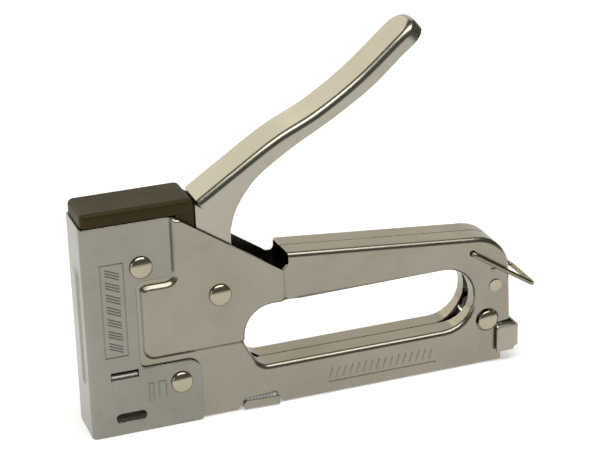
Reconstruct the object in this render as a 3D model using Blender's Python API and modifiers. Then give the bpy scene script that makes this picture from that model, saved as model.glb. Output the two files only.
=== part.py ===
"""Hand staple gun: two pressed half shells, a wrap-around nose, a channel lever and its works.

X runs along the tool from the nose's front wall (x = 0 in its middle) to the rear, Y across it, Z up from the
nose's bottom edge. The centre seam is the plane y = 0. Sizes below are millimetres, and
MM turns them into metres where an object is made.
"""
import math

import bmesh
import bpy
from mathutils import Vector

MM = 0.001
GAP = 0.3                 # clearance between pieces that touch
WELD = 0.002              # merge distance for curve caps and turned ends

# Body shells
SHELL_HALF = 8.8          # half width over the plain body
SHELL_WALL = 0.9
SHELL_RIM = 1.8           # bend radius of the flanges
SEAM = 0.15               # each half stops this far from the centre plane
BODY_BOTTOM = 0.5
PLATEAU_HALF = 10.5       # half width over the raised pivot area
PLATEAU_RIM = 1.1

# Nose
NOSE_HALF = 10.0
NOSE_WALL = 0.9
NOSE_HEIGHT = 82.4

# Lever
PIVOT = (49.5, 49.4)      # x, z of the lever's axis
LEVER_HALF = 8.7
LEVER_WALL = 1.2
LEVER_RIM = 1.9
TIP_ROUND = 7.4           # plan radius of the lever's tip corners
LEVER_SWING = 44.0        # degrees from open to closed
ARM_REACH = 24.0          # pivot to the claw's centre
CLAW_RADIUS = 2.2
PIN_RADIUS = 2.6

# Hammer and power spring
HAMMER_UNDERSIDE = 33.0
HAMMER_TOP = 47.0
SPRING_X = 14.5
SPRING_COIL = 5.2         # radius to the wire's centre
SPRING_WIRE = 0.8
SPRING_TOP = 79.4

# Magazine
STAPLE_HALF = 5.65        # half of the staple's crown
STAPLE_TOP = 11.4
STRIP_END = 85.0
ROD_HEIGHT = 13.3
ROD_RADIUS = 0.8

# Wire bail
BAIL_PIVOT = (150.0, 47.1)
BAIL_TIP = (175.4, 30.4)
BAIL_HALF = 10.2
BAIL_WIRE = 0.9

# Rivets: x, z, and the radii of their shanks
NOSE_RIVET_UPPER = (20.9, 65.1)
NOSE_RIVET_LOWER = (33.7, 17.2)
REAR_RIVET = (159.6, 32.4)
CATCH_PIN = (156.4, 18.4)
UPPER_SHANK = 2.1
LOWER_SHANK = 1.8
REAR_SHANK = 1.5
CATCH_SHANK = 2.2
ARM_SHANK = 1.4
CATCH_HOLE = 4.6          # the catch pin's head stands in this hole
CATCH_BUSH = 3.1          # outer radius: clears the pusher's lug
REAR_BUSH = 2.8
BUSH_RADIUS = 4.2         # bush that the lever and its arm turn on

STEEL = ((0.36, 0.34, 0.30), 0.32, 1.0)
BRIGHT = ((0.62, 0.60, 0.56), 0.16, 1.0)
LEVER_STEEL = ((0.46, 0.43, 0.36), 0.30, 1.0)
DARK_STEEL = ((0.12, 0.11, 0.10), 0.45, 1.0)
SPRING_STEEL = ((0.30, 0.29, 0.28), 0.35, 1.0)
BRASSY = ((0.42, 0.36, 0.26), 0.30, 1.0)
BLACK_PLASTIC = ((0.018, 0.017, 0.015), 0.38, 0.0)
RUBBER = ((0.02, 0.02, 0.02), 0.75, 0.0)


def empty_scene():
    for item in list(bpy.data.objects):
        bpy.data.objects.remove(item, do_unlink=True)
    parts = bpy.data.collections.new("staple_gun")
    cutters = bpy.data.collections.new("cutters")
    for group in (parts, cutters):
        bpy.context.scene.collection.children.link(group)
    return parts, cutters


PARTS, CUTTERS = empty_scene()


def material(name, look):
    colour, roughness, metallic = look
    made = bpy.data.materials.new(name)
    made.use_nodes = True
    shader = made.node_tree.nodes["Principled BSDF"]
    shader.inputs["Base Color"].default_value = (*colour, 1.0)
    shader.inputs["Roughness"].default_value = roughness
    shader.inputs["Metallic"].default_value = metallic
    made.diffuse_color = (*colour, 1.0)
    return made


# ---------------------------------------------------------------- outlines

def rounded(corners, step=18.0):
    """Points of a closed outline whose corners (x, z, radius) are rounded with arcs."""
    points = []
    for index, (x, z, radius) in enumerate(corners):
        corner = Vector((x, z))
        if radius <= 0:
            points.append(corner)
            continue
        before = (Vector(corners[index - 1][:2]) - corner).normalized()
        after = (Vector(corners[(index + 1) % len(corners)][:2]) - corner).normalized()
        half = before.angle(after) / 2
        centre = corner + (before + after).normalized() * (radius / math.sin(half))
        start = corner + before * (radius / math.tan(half)) - centre
        end = corner + after * (radius / math.tan(half)) - centre
        sweep = math.atan2(start.x * end.y - start.y * end.x, start.dot(end))
        count = max(2, round(abs(math.degrees(sweep)) / step))
        for k in range(count + 1):
            angle = sweep * k / count
            turned_x = start.x * math.cos(angle) - start.y * math.sin(angle)
            turned_z = start.x * math.sin(angle) + start.y * math.cos(angle)
            points.append(centre + Vector((turned_x, turned_z)))
    return [(p.x, p.y) for p in points]


def inset(corners, distance):
    """The same corners moved inwards by distance, for an outline listed anticlockwise."""
    moved = []
    for index, (x, z, radius) in enumerate(corners):
        here = Vector((x, z))
        along = (here - Vector(corners[index - 1][:2])).normalized()
        ahead = (Vector(corners[(index + 1) % len(corners)][:2]) - here).normalized()
        normal_in = Vector((-along.y, along.x))
        normal_out = Vector((-ahead.y, ahead.x))
        mitre = (normal_in + normal_out) / (1 + normal_in.dot(normal_out))
        turns_left = along.x * ahead.y - along.y * ahead.x > 0
        if radius <= 0:
            new_radius = 0.0
        elif turns_left:
            new_radius = max(radius - distance, 0.0)
        else:
            new_radius = radius + distance
        place = here + mitre * distance
        moved.append((place.x, place.y, new_radius))
    return moved


def smooth(points, steps=3):
    """Points along a smooth curve through the given points (Catmull-Rom)."""
    ends = [points[0], *points, points[-1]]
    result = []
    for a, b, c, d in zip(ends, ends[1:], ends[2:], ends[3:]):
        for k in range(steps):
            t = k / steps
            result.append(tuple(
                0.5 * (2 * b[i] + (c[i] - a[i]) * t
                       + (2 * a[i] - 5 * b[i] + 4 * c[i] - d[i]) * t * t
                       + (3 * b[i] - a[i] - 3 * c[i] + d[i]) * t ** 3)
                for i in range(2)))
    result.append(points[-1])
    return result


def sideways(points, distance):
    """The same open line moved to its right-hand side by distance."""
    moved = []
    for index, point in enumerate(points):
        before = Vector(points[max(index - 1, 0)])
        after = Vector(points[min(index + 1, len(points) - 1)])
        along = (after - before).normalized()
        moved.append((point[0] + along.y * distance, point[1] - along.x * distance))
    return moved


# ---------------------------------------------------------------- solids

def register(item, look=None, cutter=False):
    """Put an object in its collection, as a part with a material or as a hidden cutter."""
    for group in list(item.users_collection):
        group.objects.unlink(item)
    if cutter:
        CUTTERS.objects.link(item)
        item.display_type = "WIRE"
        item.hide_render = True
        return item
    PARTS.objects.link(item)
    item.data.materials.clear()
    item.data.materials.append(material(item.name, look))
    return item


def curve_to_mesh(item):
    """Turn a curve object into a welded mesh object at the same place."""
    bpy.context.view_layer.update()
    graph = bpy.context.evaluated_depsgraph_get()
    mesh = bpy.data.meshes.new_from_object(item.evaluated_get(graph))
    solid = bmesh.new()
    solid.from_mesh(mesh)
    bmesh.ops.remove_doubles(solid, verts=solid.verts, dist=WELD * MM)
    bmesh.ops.recalc_face_normals(solid, faces=solid.faces)
    solid.to_mesh(mesh)
    solid.free()
    name = item.name
    place = item.matrix_world.copy()
    bpy.data.objects.remove(item, do_unlink=True)
    made = bpy.data.objects.new(name, mesh)
    made.matrix_world = place
    return made


def plate(name, loops, low, high, look=None, rim=0.0, segments=1):
    """A plate across Y from low to high, with the XZ outlines in loops and rounded rims."""
    curve = bpy.data.curves.new(name, "CURVE")
    curve.dimensions = "2D"
    curve.fill_mode = "BOTH"
    curve.extrude = ((high - low) / 2 - rim) * MM
    curve.bevel_depth = rim * MM
    curve.bevel_resolution = segments
    curve.offset = -rim * MM
    for points in loops:
        spline = curve.splines.new("POLY")
        spline.points.add(len(points) - 1)
        for point, (x, z) in zip(spline.points, points):
            point.co = (x * MM, z * MM, 0.0, 1.0)
        spline.use_cyclic_u = True
    item = bpy.data.objects.new(name, curve)
    bpy.context.scene.collection.objects.link(item)
    item.rotation_euler = (math.pi / 2, 0.0, 0.0)
    item.location = (0.0, (low + high) / 2 * MM, 0.0)
    return register(curve_to_mesh(item), look, cutter=look is None)


def box(name, low, high, look=None, rim=0.0, turn=0.0):
    """A box between two corners in millimetres, with rounded edges and a turn about Z."""
    bpy.ops.mesh.primitive_cube_add(size=1.0)
    item = bpy.context.object
    item.name = name
    size = [(b - a) * MM for a, b in zip(low, high)]
    for vertex in item.data.vertices:
        vertex.co = [c * s for c, s in zip(vertex.co, size)]
    item.location = [(a + b) / 2 * MM for a, b in zip(low, high)]
    item.rotation_euler.z = turn
    if rim:
        edge = item.modifiers.new("rim", "BEVEL")
        edge.width = rim * MM
        edge.segments = 2
    return register(item, look, cutter=look is None)


def rod(name, place, radius, low, high, look=None, sides=20):
    """A cylinder across Y, centred on the x and z in place."""
    bpy.ops.mesh.primitive_cylinder_add(vertices=sides, radius=radius * MM, depth=(high - low) * MM)
    item = bpy.context.object
    item.name = name
    item.rotation_euler.x = math.pi / 2
    item.location = (place[0] * MM, (low + high) / 2 * MM, place[1] * MM)
    return register(item, look, cutter=look is None)


def turned(name, profile, place, look, steps=20):
    """A turned piece on an axis across Y: the profile lists (radius, -y) from top to bottom."""
    mesh = bpy.data.meshes.new(name)
    edges = [(k, k + 1) for k in range(len(profile) - 1)]
    mesh.from_pydata([(r * MM, 0.0, h * MM) for r, h in profile], edges, [])
    item = bpy.data.objects.new(name, mesh)
    item.rotation_euler.x = math.pi / 2
    item.location = (place[0] * MM, 0.0, place[1] * MM)
    screw = item.modifiers.new("turn", "SCREW")
    screw.steps = steps
    screw.render_steps = steps
    screw.use_merge_vertices = True
    screw.merge_threshold = WELD * MM
    screw.use_smooth_shade = True
    return register(item, look)


def wire(name, points, radius, look):
    """A round wire through points in millimetres."""
    curve = bpy.data.curves.new(name, "CURVE")
    curve.dimensions = "3D"
    curve.bevel_depth = radius * MM
    curve.bevel_resolution = 2
    curve.use_fill_caps = True
    spline = curve.splines.new("POLY")
    spline.points.add(len(points) - 1)
    for point, place in zip(spline.points, points):
        point.co = (*[c * MM for c in place], 1.0)
    item = bpy.data.objects.new(name, curve)
    bpy.context.scene.collection.objects.link(item)
    item = register(curve_to_mesh(item), look)
    item.data.shade_smooth()
    return item


def combine(item, other, operation):
    """Add a Boolean with another object."""
    step = item.modifiers.new(f"{operation.lower()}_{other.name}", "BOOLEAN")
    step.operation = operation
    step.object = other
    step.solver = "EXACT"
    return item


def cut(item, *others):
    for other in others:
        combine(item, other, "DIFFERENCE")
    return item


def join(item, *others):
    for other in others:
        combine(item, other, "UNION")
    return item


def pivot_empty(name, place):
    """An empty on a joint's axis, which the pieces that move about it are parented to."""
    item = bpy.data.objects.new(name, None)
    item.location = [c * MM for c in place]
    bpy.context.scene.collection.objects.link(item)
    bpy.context.view_layer.update()
    return item


def attach(parent, *items):
    for item in items:
        item.parent = parent
        item.matrix_parent_inverse = parent.matrix_world.inverted()


# ---------------------------------------------------------------- shared outlines

BAR_FRONT = (76.5, 60.1)
BAR_REAR = (150.0, 53.2)
REAR_EDGE = ((165.4, 38.0), (167.0, 4.0))

# The blank's outline, anticlockwise. It overruns every edge that the trim cuts square.
BODY = [
    (-8.0, -8.0, 0.0),
    (167.6, -8.0, 0.0),
    (REAR_EDGE[1][0], REAR_EDGE[1][1], 0.0),
    (165.3, 52.0, 15.0),
    (BAR_REAR[0], BAR_REAR[1], 0.0),
    (BAR_FRONT[0], BAR_FRONT[1], 0.0),
    (56.5, 62.3, 0.0),
    (56.5, 100.0, 0.0),
    (-8.0, 100.0, 0.0),
]

# Finger loop, anticlockwise
LOOP = [
    (58.6, 27.2, 4.0),
    (64.4, 16.3, 6.0),
    (151.2, 16.3, 12.4),
    (151.2, 41.6, 12.4),
    (58.6, 41.6, 11.0),
]

# Raised pivot area, anticlockwise. Its top overruns the diagonal mouth.
PLATEAU = [
    (20.6, 28.3, 4.0),
    (56.5, 28.3, 2.0),
    (56.5, 43.8, 13.0),
    (74.3, 43.8, 0.0),
    (74.3, 90.0, 0.0),
    (33.4, 90.0, 0.0),
    (33.4, 56.6, 3.5),
    (20.6, 56.6, 1.5),
]

# Square-cut edges: front, bottom with its notch, rear opening, bar end, mouth and top
TRIM = [
    (1.3, BODY_BOTTOM, 0.0),
    (55.0, BODY_BOTTOM, 0.0),
    (56.0, 1.5, 0.0),
    (72.0, 1.5, 0.0),
    (73.0, BODY_BOTTOM, 0.0),
    (162.3, BODY_BOTTOM, 0.0),
    (162.3, 4.0, 0.0),
    (160.8, 4.0, 0.0),
    (160.8, 16.4, 0.0),
    (172.0, 17.6, 0.0),
    (172.0, 70.0, 0.0),
    (76.4, 70.0, 0.0),
    (76.4, 54.7, 2.2),
    (73.6, 54.7, 0.0),
    (34.4, 81.5, 0.0),
    (33.8, 81.9, 0.0),
    (1.3, 81.9, 0.0),
]

NOSE_SIDE = [
    (-3.0, -2.0, 0.0),
    (39.2, -2.0, 0.0),
    (41.6, 1.2, 0.0),
    (41.6, 25.4, 5.0),
    (18.8, 25.4, 2.5),
    (18.8, 59.4, 2.5),
    (32.2, 59.4, 1.8),
    (32.2, NOSE_HEIGHT + 2.0, 0.0),
    (-3.0, NOSE_HEIGHT + 2.0, 0.0),
]

LEVER_WEB = [(43.0, 85.6), (57.0, 94.8), (73.0, 104.9), (89.0, 112.7), (104.5, 122.8), (127.3, 141.8)]
LEVER_EDGE = [(55.1, 73.1), (57.7, 81.2), (65.1, 91.1), (78.2, 100.2), (93.5, 108.7), (109.0, 118.5),
              (123.0, 130.6), (131.6, 137.8)]


# ---------------------------------------------------------------- body shells

def shell_cutters():
    """Cutters that both half shells share."""
    inner_half = SHELL_HALF - SHELL_WALL
    cavity = plate("shell_cavity", [rounded(inset(BODY, SHELL_WALL)), rounded(inset(LOOP, -SHELL_WALL))],
                   -inner_half, inner_half)
    raised = PLATEAU_HALF - SHELL_WALL
    plateau_cavity = plate("plateau_cavity", [rounded(inset(PLATEAU, SHELL_WALL + 0.1))], -raised, raised)
    lance = box("lance_opening", (58.5, -20.0, -3.0), (70.5, 20.0, 4.7))
    slot = plate("sight_slot_inner", [rounded([(8.2, 4.6, 2.0), (20.3, 4.6, 2.0),
                                               (20.3, 9.1, 2.0), (8.2, 9.1, 2.0)])], -20.0, 20.0)
    window = box("louvre_inner", (7.2, -20.0, 21.9), (18.2, 20.0, 25.9))
    holes = [
        rod("hole_nose_upper", NOSE_RIVET_UPPER, UPPER_SHANK + GAP, -20.0, 20.0),
        rod("hole_nose_lower", NOSE_RIVET_LOWER, LOWER_SHANK + GAP, -20.0, 20.0),
        rod("hole_pivot", PIVOT, PIN_RADIUS + GAP, -20.0, 20.0),
        rod("hole_rear", REAR_RIVET, REAR_SHANK + GAP, -20.0, 20.0),
        rod("hole_catch", CATCH_PIN, CATCH_HOLE, -20.0, 20.0),
        rod("hole_bail", BAIL_PIVOT, BAIL_WIRE + GAP, -20.0, 20.0, sides=16),
    ]
    return [cavity, plateau_cavity, lance, slot, window, *holes]


def side_shell(name, side, shared):
    """One pressed half: side is -1 for the left (-Y) half and +1 for the right."""
    reach = SHELL_HALF
    shell = plate(name, [rounded(BODY), rounded(LOOP)], -reach, reach, STEEL, rim=SHELL_RIM, segments=1)
    plateau = plate(name + "_plateau", [rounded(PLATEAU)], -PLATEAU_HALF, PLATEAU_HALF,
                    rim=PLATEAU_RIM, segments=1)
    join(shell, plateau)
    combine(shell, plate(name + "_trim", [rounded(TRIM)], -30.0, 30.0), "INTERSECT")
    low, high = (-30.0, SEAM) if side > 0 else (-SEAM, 30.0)
    cut(shell, box(name + "_far_half", (-20.0, low, -20.0), (190.0, high, 110.0)), *shared)
    tab = box(name + "_tab", (57.2, -0.45, 0.7), (71.2, 0.45, 4.2), turn=side * 0.13)
    tab.location.y = side * 9.45 * MM
    join(shell, tab)
    return shell


# ---------------------------------------------------------------- nose and cap

def nose_shell():
    """Bright U-shaped nose with a raised rib down its front face."""
    front = NOSE_WALL / 2
    nose = box("nose_shell", (-front, -NOSE_HALF, 0.0), (60.0, NOSE_HALF, NOSE_HEIGHT), BRIGHT)
    edge = nose.modifiers.new("front_bend", "BEVEL")
    edge.width = 2.0 * MM
    edge.segments = 3
    edge.limit_method = "WEIGHT"
    weights = nose.data.attributes.new("bevel_weight_edge", "FLOAT", "EDGE")
    for line in nose.data.edges:
        ends = [nose.data.vertices[v].co for v in line.vertices]
        front = all(end.x < 0 for end in ends)
        upright = abs(ends[0].z - ends[1].z) > NOSE_HEIGHT / 2 * MM
        weights.data[line.index].value = 1.0 if front and upright else 0.0
    rib = box("nose_rib", (-front - 0.6, -3.0, 20.0), (0.2, 3.0, 64.0), rim=0.5)
    join(nose, rib)
    inner = NOSE_HALF - NOSE_WALL
    cut(nose, box("nose_cavity", (front, -inner, -5.0), (70.0, inner, NOSE_HEIGHT + 5.0)))
    combine(nose, plate("nose_outline", [rounded(NOSE_SIDE)], -20.0, 20.0), "INTERSECT")
    slot = plate("sight_slot", [rounded([(8.6, 5.1, 1.7), (19.9, 5.1, 1.7),
                                         (19.9, 8.6, 1.7), (8.6, 8.6, 1.7)])], -20.0, 20.0)
    louvre = box("louvre", (7.6, -20.0, 22.3), (17.8, 20.0, 25.5))
    upper = rod("nose_hole_upper", NOSE_RIVET_UPPER, UPPER_SHANK + GAP, -20.0, 20.0)
    lower = rod("nose_hole_lower", NOSE_RIVET_LOWER, LOWER_SHANK + GAP, -20.0, 20.0)
    return cut(nose, slot, louvre, upper, lower)


def top_cap():
    """Black plastic cap with a plug that fills the head behind the nose."""
    cap = box("top_cap", (0.3, -9.8, 82.8), (41.5, 9.8, 87.7), BLACK_PLASTIC, rim=1.6)
    plug = plate("cap_plug", [[(34.8, 85.0), (34.8, 81.6), (40.2, 77.0), (41.4, 77.0), (41.4, 85.0)]],
                 -9.2, 9.2)
    return join(cap, plug)


# ---------------------------------------------------------------- rivets and pins

def dome(radius, face, height, count=4):
    """Profile of a domed head from its crown down to its edge at face."""
    points = []
    for k in range(count + 1):
        angle = math.pi / 2 * k / count
        points.append((radius * math.sin(angle), face + height * math.cos(angle)))
    return points


def through_rivet(name, place, shank, head, face, height, look):
    """A rivet across the tool with a domed head on both sides."""
    top = dome(head, face + GAP, height)
    half = [*top, (shank, face + GAP)]
    profile = half + [(r, -h) for r, h in reversed(half)]
    return turned(name, profile, place, look)


def short_rivet(name, side):
    """A rivet through the nose shell and one half shell, headed on both faces."""
    outer = NOSE_HALF + GAP
    inner = SHELL_HALF - SHELL_WALL - GAP
    profile = [*dome(4.2, outer, 2.0), (UPPER_SHANK, outer), (UPPER_SHANK, inner), (3.2, inner),
               (3.0, inner - 0.4), (0.0, inner - 0.4)]
    if side > 0:
        profile = [(r, -h) for r, h in reversed(profile)]
    return turned(name, profile, NOSE_RIVET_UPPER, BRASSY)


def rivets():
    short_rivet("nose_rivet_upper_left", -1)
    short_rivet("nose_rivet_upper_right", 1)
    through_rivet("nose_rivet_lower", NOSE_RIVET_LOWER, LOWER_SHANK, 4.1, NOSE_HALF, 1.9, BRASSY)
    through_rivet("lever_pivot_pin", PIVOT, PIN_RADIUS, 4.2, PLATEAU_HALF, 1.9, BRASSY)
    through_rivet("rear_rivet", REAR_RIVET, REAR_SHANK, 2.5, SHELL_HALF, 0.9, STEEL)
    through_rivet("catch_pin", CATCH_PIN, CATCH_SHANK, 4.0, SHELL_HALF + 0.3, 1.6, BRASSY)


def tube(name, place, inner, outer, half, look):
    """A spacer tube across the tool."""
    profile = [(inner, half), (outer, half), (outer, -half), (inner, -half), (inner, half)]
    return turned(name, profile, place, look, steps=16)


def spacers():
    inner = SHELL_HALF - SHELL_WALL - GAP
    tube("rear_spacer", REAR_RIVET, REAR_SHANK + GAP, REAR_BUSH, inner, DARK_STEEL)
    tube("catch_bush", CATCH_PIN, CATCH_SHANK + GAP, CATCH_BUSH, inner, DARK_STEEL)


# ---------------------------------------------------------------- lever

def lever_handle():
    """Pressed channel lever: web on top, two side plates, closed tip, lugs on the pivot."""
    web = smooth(LEVER_WEB)
    tip = [(131.4, 136.9)]
    below = [(131.4, 120.0), (60.0, 60.0), (60.0, 38.0), (42.0, 38.0)]
    outline = [*web, *tip, *below]
    lever = plate("lever_handle", [outline], -LEVER_HALF, LEVER_HALF, LEVER_STEEL,
                  rim=LEVER_RIM, segments=1)

    lug = [(PIVOT[0] + 7.4 * math.cos(a), PIVOT[1] + 7.4 * math.sin(a))
           for a in (math.radians(-180.0 + 22.5 * k) for k in range(9))]
    edge = smooth(LEVER_EDGE)
    trim = [*lug, (55.0, 68.0), *edge, (140.0, 145.0), (140.0, 160.0), (30.0, 160.0),
            (42.1, 100.0), (42.1, 62.0)]
    combine(lever, plate("lever_trim", [trim], -20.0, 20.0), "INTERSECT")

    under = sideways(web, LEVER_WALL)
    front = (20.0, under[0][1] - 14.0)
    cavity = [front, *under, (131.0, 137.2), (131.0, 100.0), (90.0, 30.0), (20.0, 30.0)]
    inner = LEVER_HALF - LEVER_WALL
    hollow = plate("lever_cavity", [cavity], -inner, inner)
    cut(hollow, tip_cutter("lever_cavity_tip", -LEVER_WALL, inner + 0.3, TIP_ROUND - LEVER_WALL))
    cut(lever, tip_cutter("lever_tip", 0.1, LEVER_HALF + 0.3, TIP_ROUND))
    cut(lever, hollow, rod("lever_hole", PIVOT, PIN_RADIUS + GAP, -20.0, 20.0))
    for name, place in ARM_RIVETS.items():
        cut(lever, rod("lever_hole_" + name, place, ARM_SHANK + GAP, -20.0, 20.0, sides=16))
    return lever


def tip_cutter(name, end, half, radius):
    """A block with a round-cornered bite, tilted to the tip's slope, that rounds it in plan."""
    slope = math.atan2(LEVER_WEB[-1][1] - LEVER_WEB[-2][1], LEVER_WEB[-1][0] - LEVER_WEB[-2][0])
    block = box(name + "_block", (end - radius - 2.0, -14.0, -24.0), (end + 12.0, 14.0, 14.0))
    bite = box(name + "_bite", (end - 30.0, -half, -30.0), (end, half, 30.0))
    edge = bite.modifiers.new("rounding", "BEVEL")
    edge.width = radius * MM
    edge.segments = 5
    edge.limit_method = "WEIGHT"
    weights = bite.data.attributes.new("bevel_weight_edge", "FLOAT", "EDGE")
    for line in bite.data.edges:
        ends = [bite.data.vertices[v].co for v in line.vertices]
        outer = all(corner.x > 0 for corner in ends)
        upright = abs(ends[0].z - ends[1].z) > 10.0 * MM
        weights.data[line.index].value = 1.0 if outer and upright else 0.0
    cut(block, bite)
    along = Vector((math.cos(slope), 0.0, math.sin(slope)))
    start = Vector((LEVER_WEB[-1][0], 0.0, LEVER_WEB[-1][1])) * MM
    for item in (block, bite):
        offset = item.location.copy()
        item.rotation_euler.y = -slope
        item.location = start + along * offset.x + Vector((-along.z, 0.0, along.x)) * offset.z
    return block


ARM_RIVETS = {"arm_rivet_front": (46.6, 76.0), "arm_rivet_rear": (51.4, 64.0)}


def lifting_arm():
    """Claw plate: round tip under the hammer's ledge, boss on the bush, tail in the lever."""
    droop = math.radians(LEVER_SWING / 2)
    tip = (PIVOT[0] - ARM_REACH * math.cos(droop), PIVOT[1] - ARM_REACH * math.sin(droop))
    claw = [(tip[0] + CLAW_RADIUS * math.cos(a), tip[1] + CLAW_RADIUS * math.sin(a))
            for a in (math.radians(112.0 + 30.0 * k) for k in range(7))]
    boss = [(PIVOT[0] + 7.0 * math.cos(a), PIVOT[1] + 7.0 * math.sin(a))
            for a in (math.radians(-96.0 + 28.0 * k) for k in range(4))]
    tail = [(55.0, 66.0), (49.6, 79.6), (43.6, 78.4), (44.4, 58.0), (42.0, 51.0)]
    arm = plate("lifting_arm", [[*claw, *boss, *tail]], -2.5, 2.5, DARK_STEEL)
    cut(arm, rod("arm_hole", PIVOT, BUSH_RADIUS + GAP, -10.0, 10.0))
    for name, place in ARM_RIVETS.items():
        cut(arm, rod("arm_hole_" + name, place, ARM_SHANK + GAP, -10.0, 10.0, sides=16))
    return arm


def lever_group():
    axis = pivot_empty("lever_axis", (PIVOT[0], 0.0, PIVOT[1]))
    pieces = [lever_handle(), lifting_arm()]
    pieces.append(tube("pivot_bush", PIVOT, PIN_RADIUS + GAP, BUSH_RADIUS, 7.2, BRASSY))
    for name, place in ARM_RIVETS.items():
        pieces.append(rod(name, place, ARM_SHANK, -LEVER_HALF + 0.1, LEVER_HALF - 0.1, LEVER_STEEL, sides=16))
    attach(axis, *pieces)


def return_spring():
    """Torsion spring round the bush, one leg in the lever and one on the loop's flange."""
    radius, wire_radius, turns, count = 5.3, 0.6, 2.5, 10
    start = math.radians(80.0)
    lay = 3.4 / turns
    points = [(48.2, 3.4, 72.0), (48.6, 3.4, 60.0)]
    for k in range(int(turns * count) + 1):
        angle = start - 2 * math.pi * k / count
        points.append((PIVOT[0] + radius * math.cos(angle), 3.4 + lay * k / count,
                       PIVOT[1] + radius * math.sin(angle)))
    points.append((53.4, 6.9, 38.0))
    return wire("lever_return_spring", points, wire_radius, SPRING_STEEL)


# ---------------------------------------------------------------- hammer

def hammer_group():
    """Hammer with its lifting ledge and spring post, and the blade on its front face."""
    axis = pivot_empty("hammer_axis", (SPRING_X, 0.0, HAMMER_UNDERSIDE))
    hammer = box("hammer_block", (3.5, -6.7, HAMMER_UNDERSIDE), (22.6, 6.7, HAMMER_TOP), DARK_STEEL, rim=0.6)
    ledge = box("hammer_ledge", (20.0, -4.0, 43.2), (27.6, 4.0, HAMMER_TOP - 0.4))
    bpy.ops.mesh.primitive_cylinder_add(vertices=16, radius=3.4 * MM, depth=14.0 * MM)
    post = bpy.context.object
    post.name = "hammer_post"
    post.location = (SPRING_X * MM, 0.0, (HAMMER_TOP + 4.0) * MM)
    register(post, cutter=True)
    join(hammer, ledge, post)
    blade = box("driver_blade", (1.9, -5.6, 1.2), (3.1, 5.6, 46.0), BRIGHT)
    attach(axis, hammer, blade)


def power_spring():
    """Compression spring between the hammer and the seat under the cap."""
    low = HAMMER_TOP + SPRING_WIRE + GAP
    high = SPRING_TOP - SPRING_WIRE - GAP
    turns, count = 8, 12
    points = []
    for k in range(turns * count + 1):
        angle = 2 * math.pi * k / count
        points.append((SPRING_X + SPRING_COIL * math.cos(angle), SPRING_COIL * math.sin(angle),
                       low + (high - low) * k / (turns * count)))
    return wire("power_spring", points, SPRING_WIRE, SPRING_STEEL)


def head_fittings():
    box("spring_seat", (5.0, -7.6, SPRING_TOP), (24.0, 7.6, 81.0), DARK_STEEL)
    box("driver_guide", (3.5, -7.6, 12.4), (4.5, 7.6, 32.6), DARK_STEEL)
    box("bumper_bracket", (4.8, -7.6, 26.4), (24.0, 7.6, 27.4), DARK_STEEL)
    box("bumper", (5.2, -6.7, 27.7), (22.0, 6.7, 32.6), RUBBER, rim=0.8)


# ---------------------------------------------------------------- magazine

def saddle(name, x_low, x_high, half, top, wall, look):
    """An inverted channel along X, open below."""
    outer = box(name, (x_low, -half, 1.5), (x_high, half, top), look)
    inner = half - wall
    return cut(outer, box(name + "_inside", (x_low - 1.0, -inner, 0.0), (x_high + 1.0, inner, top - wall)))


def magazine():
    saddle("magazine_rail", 5.5, 157.0, 4.6, 10.3, 0.8, STEEL)
    saddle("staple_strip", 3.5, STRIP_END, STAPLE_HALF, STAPLE_TOP, 0.7, BRIGHT)


def rear_clip():
    """U-shaped end cap over the magazine's mouth, with a lug that holds the guide rod."""
    clip = box("rear_clip", (140.0, -10.5, 4.3), (169.4, 10.5, 14.5), STEEL)
    edge = clip.modifiers.new("bend", "BEVEL")
    edge.width = 2.4 * MM
    edge.segments = 3
    edge.limit_method = "WEIGHT"
    weights = clip.data.attributes.new("bevel_weight_edge", "FLOAT", "EDGE")
    for line in clip.data.edges:
        ends = [clip.data.vertices[v].co for v in line.vertices]
        rear = all(end.x > 0 for end in ends)
        upright = abs(ends[0].z - ends[1].z) > 5.0 * MM
        weights.data[line.index].value = 1.0 if rear and upright else 0.0
    cut(clip, box("clip_front", (130.0, -20.0, 0.0), (159.9, 20.0, 20.0)))
    cut(clip, box("clip_inside", (150.0, -9.6, 0.0), (168.5, 9.6, 20.0)))
    corner = plate("clip_corner", [[(165.2, 4.2), (167.8, 6.8), (175.0, 6.8), (175.0, 0.0), (165.2, 0.0)]],
                   -20.0, 20.0)
    cut(clip, corner)
    lug = box("clip_lug", (165.5, -2.2, 11.6), (169.0, 2.2, 14.5))
    return join(clip, lug)


def guide_rod():
    points = [(88.0, 0.0, ROD_HEIGHT), (165.2, 0.0, ROD_HEIGHT)]
    return wire("guide_rod", points, ROD_RADIUS, SPRING_STEEL)


def pusher():
    """Saddle behind the strip, with a lug that slides on the guide rod."""
    body = saddle("pusher", STRIP_END + 0.4, STRIP_END + 12.0, STAPLE_HALF, STAPLE_TOP, 0.7, BRASSY)
    lug = box("pusher_lug", (STRIP_END + 4.0, -1.9, STAPLE_TOP - 0.5), (STRIP_END + 8.0, 1.9, 15.0))
    join(body, lug)
    bore = box("pusher_bore", (STRIP_END, -ROD_RADIUS - GAP, ROD_HEIGHT - ROD_RADIUS - GAP),
               (STRIP_END + 14.0, ROD_RADIUS + GAP, ROD_HEIGHT + ROD_RADIUS + GAP))
    return cut(body, bore)


def pusher_spring():
    low, high = STRIP_END + 9.0, 164.0
    radius, wire_radius, turns, count = 1.45, 0.3, 18, 8
    points = []
    for k in range(turns * count + 1):
        angle = 2 * math.pi * k / count
        points.append((low + (high - low) * k / (turns * count), radius * math.cos(angle),
                       ROD_HEIGHT + radius * math.sin(angle)))
    return wire("pusher_spring", points, wire_radius, SPRING_STEEL)


def magazine_group():
    slide = pivot_empty("follower_slide", (168.0, 0.0, ROD_HEIGHT))
    attach(slide, rear_clip(), guide_rod())
    push = pivot_empty("pusher_slide", (STRIP_END, 0.0, ROD_HEIGHT))
    attach(push, pusher())
    pusher_spring()


# ---------------------------------------------------------------- bail

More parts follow.
